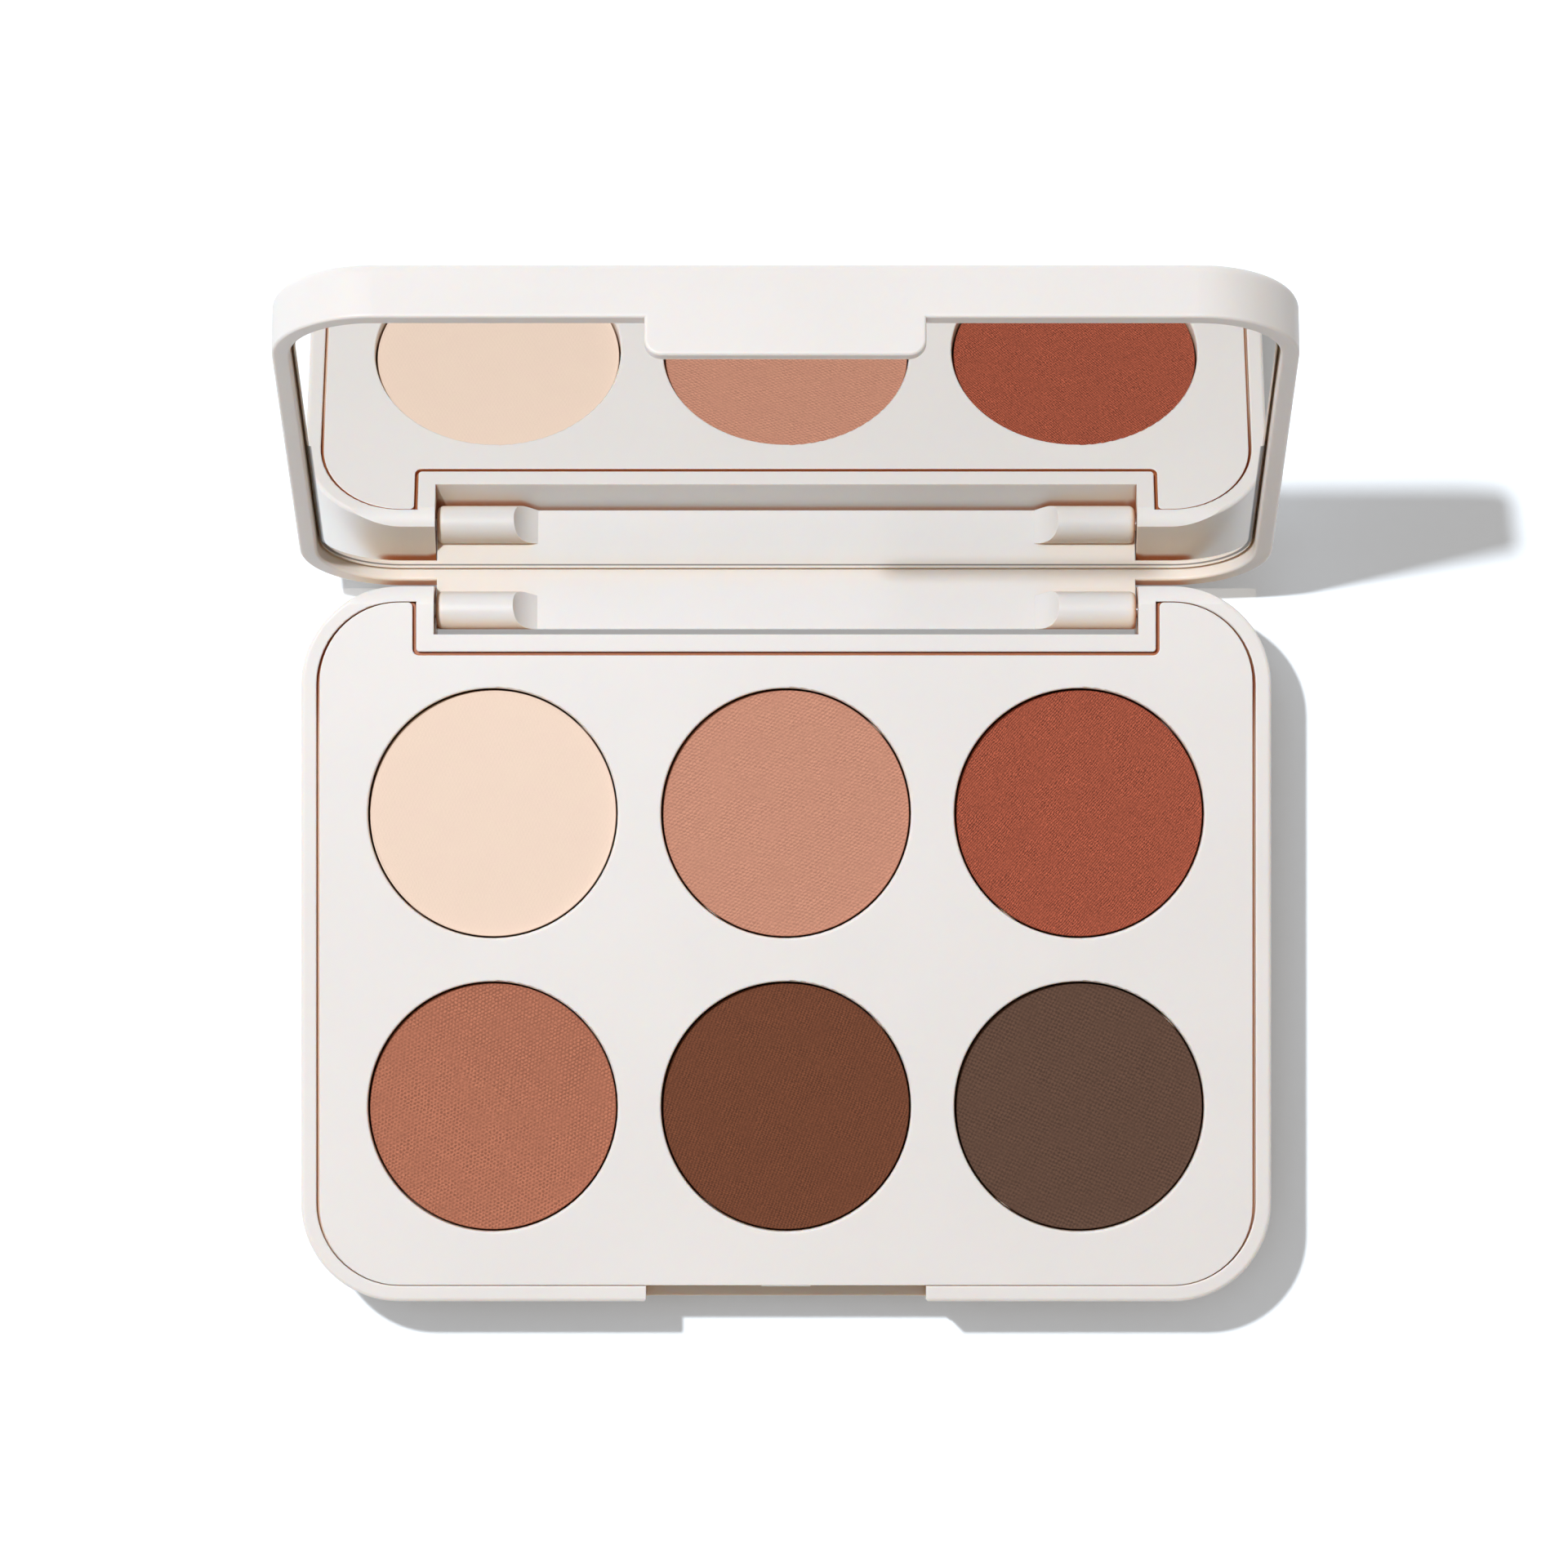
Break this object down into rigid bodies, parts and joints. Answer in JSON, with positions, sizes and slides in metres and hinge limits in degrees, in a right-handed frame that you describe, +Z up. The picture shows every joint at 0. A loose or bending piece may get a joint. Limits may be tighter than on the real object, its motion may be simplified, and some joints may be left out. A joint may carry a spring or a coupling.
{
  "type": "eyeshadow palette",
  "caption": "Hinged compact with round pressed-powder pans in a cream plastic base and a mirrored lid that leans open.",
  "frame": {"origin": "centre of the base's flat underside", "axes": "+X right, +Y towards the hinge, +Z up out of the pans"},
  "size_m": [0.1024, 0.1058, 0.0773],
  "materials": {
    "shell_plastic": "satin moulded cream",
    "mirror_glass": "silvered glass",
    "tape": "double-sided foam tape",
    "pin_steel": "drawn wire",
    "pan_tin": "pressed sheet",
    "adhesive": "soft adhesive disc",
    "label_film": "matt film, blank",
    "powder_ivory": "pressed powder with a fabric-pressed face",
    "powder_rose": "pressed powder with a fabric-pressed face",
    "powder_brick": "pressed powder with a fabric-pressed face",
    "powder_terracotta": "pressed powder with a fabric-pressed face",
    "powder_chocolate": "pressed powder with a fabric-pressed face",
    "powder_taupe": "pressed powder with a fabric-pressed face"
  },
  "bodies": {
    "base": {"base_shell": "shell_plastic", "pan_plate": "shell_plastic", "pan_1": "pan_tin", "pan_2": "pan_tin", "pan_3": "pan_tin", "pan_4": "pan_tin", "pan_5": "pan_tin", "pan_6": "pan_tin", "pan_pad_1": "adhesive", "pan_pad_2": "adhesive", "pan_pad_3": "adhesive", "pan_pad_4": "adhesive", "pan_pad_5": "adhesive", "pan_pad_6": "adhesive", "powder_1": "powder_ivory", "powder_2": "powder_rose", "powder_3": "powder_brick", "powder_4": "powder_terracotta", "powder_5": "powder_chocolate", "powder_6": "powder_taupe", "hinge_pin_left": "pin_steel", "hinge_pin_right": "pin_steel", "bottom_label": "label_film"},
    "lid": {"lid_shell": "shell_plastic", "mirror": "mirror_glass", "mirror_tape": "tape"}
  },
  "joints": [
    {"name": "lid_hinge", "type": "hinge", "parent": "base", "child": "lid", "pos_m": [0, 0.03525, 0.0084], "axis": [1, 0, 0], "range_deg": [0, 109.3]}
  ]
}
